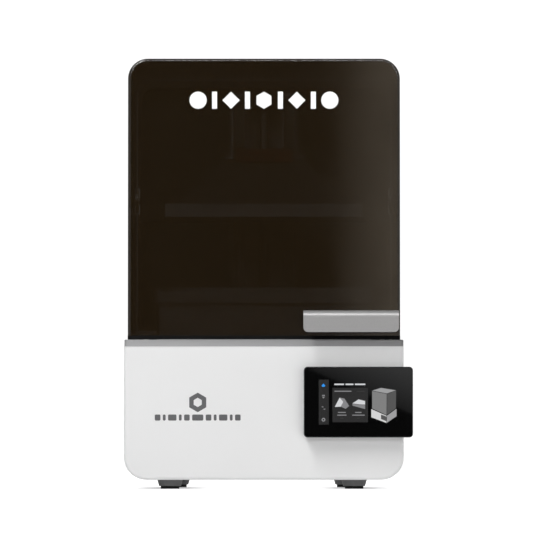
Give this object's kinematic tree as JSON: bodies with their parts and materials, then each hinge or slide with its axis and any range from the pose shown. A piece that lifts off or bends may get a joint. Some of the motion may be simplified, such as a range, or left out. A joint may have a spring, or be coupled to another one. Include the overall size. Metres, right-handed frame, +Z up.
{
  "type": "resin 3d printer",
  "caption": "Desktop resin printer: white base, aluminium deck, flip-up tinted cover, Z tower with build platform, resin vat and touchscreen.",
  "frame": {"origin": "on the standing surface, under the middle of the whole printer's bounding box", "axes": "+Z up, -Y towards the user at the front, +X to the user's right"},
  "size_m": [0.3094, 0.292, 0.4624],
  "materials": {
    "white_enamel": "satin",
    "deck_aluminium": "fine satin",
    "handle_aluminium": "bead blasted",
    "tinted_acrylic": "polished, see-through",
    "seal_rubber": "matt",
    "foot_rubber": "matt",
    "foot_plastic": "satin",
    "housing_plastic": "fine texture",
    "screen_plastic": "satin",
    "touch_glass": "polished",
    "display_module": "matt",
    "circuit_board": "solder mask",
    "led_substrate": "white mask",
    "led_dome": "clear dome",
    "lens_plastic": "clear, grooved",
    "lcd_glass": "polished",
    "sheet_aluminium": "mill",
    "anodised_aluminium": "anodised",
    "build_surface": "laser textured",
    "rail_steel": "ground",
    "nut_brass": "machined",
    "fastener_steel": "black oxide",
    "stud_steel": "turned",
    "motor_enamel": "satin",
    "bearing_block": "anodised",
    "fan_plastic": "moulded",
    "guard_wire": "plated wire",
    "supply_case": "zinc",
    "socket_plastic": "moulded",
    "rocker_plastic": "moulded",
    "port_steel": "plated",
    "lead_jacket": "matt",
    "film_clear": "clear",
    "knob_plastic": "moulded",
    "lever_plastic": "moulded"
  },
  "bodies": {
    "base": {"base_housing": "white_enamel", "bottom_plate": "white_enamel", "case_screws": "fastener_steel", "feet": "foot_plastic", "foot_pads": "foot_rubber", "rear_panel": "white_enamel", "top_plate": "deck_aluminium", "lcd_panel": "lcd_glass", "light_box": "sheet_aluminium", "collimating_lens": "lens_plastic", "led_board": "led_substrate", "led_array": "led_dome", "heat_sink": "sheet_aluminium", "led_fan_frame": "fan_plastic", "rear_fan_frame": "fan_plastic", "rear_fan_guard": "guard_wire", "z_motor": "motor_enamel", "motor_screws": "fastener_steel", "power_supply": "supply_case", "mainboard": "circuit_board", "power_inlet": "socket_plastic", "usb_port": "port_steel", "mains_lead": "lead_jacket", "screen_shell": "screen_plastic", "screen_glass": "touch_glass", "screen_display": "display_module", "screen_board": "circuit_board", "tower": "anodised_aluminium", "tower_screws": "fastener_steel", "tower_cap": "housing_plastic", "linear_rails": "rail_steel", "top_bearing": "bearing_block", "limit_sensor": "socket_plastic", "rear_housing": "housing_plastic", "hinge_units": "bearing_block", "vat": "anodised_aluminium", "vat_film": "film_clear", "vat_frame": "anodised_aluminium", "vat_screws": "fastener_steel", "vat_studs": "stud_steel"},
    "cover": {"cover_shell": "tinted_acrylic", "cover_seal": "seal_rubber", "cover_handle": "handle_aluminium", "handle_screws": "fastener_steel", "hinge_hubs": "stud_steel"},
    "carriage": {"build_plate": "build_surface", "platform_body": "anodised_aluminium", "levelling_screws": "fastener_steel", "platform_arm": "anodised_aluminium", "carriage_plate": "anodised_aluminium", "carriage_blocks": "rail_steel", "screw_nut": "nut_brass"},
    "z_screw": {"lead_screw": "rail_steel", "motor_rotor": "stud_steel"},
    "release_lever": {"release_lever": "lever_plastic"},
    "vat_knob_left": {"vat_knob_left": "knob_plastic"},
    "vat_knob_right": {"vat_knob_right": "knob_plastic"},
    "power_rocker": {"power_rocker": "rocker_plastic"},
    "led_fan_rotor": {"led_fan_rotor": "fan_plastic"},
    "rear_fan_rotor": {"rear_fan_rotor": "fan_plastic"}
  },
  "joints": [
    {"name": "cover_hinge", "type": "hinge", "parent": "base", "child": "cover", "pos_m": [-0.00465, 0.131, 0.322], "axis": [-1, 0, 0], "range_deg": [0, 75]},
    {"name": "z_axis", "type": "slide", "parent": "base", "child": "carriage", "axis": [0, 0, 1], "range_m": [-0.1275, 0.08]},
    {"name": "z_screw_turn", "type": "hinge", "parent": "base", "child": "z_screw", "pos_m": [-0.00465, 0.097, 0.1529], "axis": [0, 0, 1], "continuous": true},
    {"name": "release_lever_turn", "type": "hinge", "parent": "carriage", "child": "release_lever", "pos_m": [-0.00465, -0.054, 0.365], "axis": [-1, 0, 0], "range_deg": [0, 90]},
    {"name": "vat_knob_left_turn", "type": "hinge", "parent": "base", "child": "vat_knob_left", "pos_m": [-0.13365, -0.025, 0.1723], "axis": [0, 0, 1], "continuous": true},
    {"name": "vat_knob_right_turn", "type": "hinge", "parent": "base", "child": "vat_knob_right", "pos_m": [0.12435, -0.025, 0.1723], "axis": [0, 0, 1], "continuous": true},
    {"name": "power_rocker_tilt", "type": "hinge", "parent": "base", "child": "power_rocker", "pos_m": [0.08035, 0.138, 0.12], "axis": [1, 0, 0], "range_deg": [-20, 0]},
    {"name": "led_fan_spin", "type": "hinge", "parent": "base", "child": "led_fan_rotor", "pos_m": [-0.00465, -0.025, 0.0285], "axis": [0, 0, 1], "continuous": true},
    {"name": "rear_fan_spin", "type": "hinge", "parent": "base", "child": "rear_fan_rotor", "pos_m": [-0.07465, 0.1255, 0.1], "axis": [0, 1, 0], "continuous": true}
  ],
  "couplings": [
    {"joint": "z_screw_turn", "follows": "z_axis", "rad_per_m": 1570.8}
  ]
}
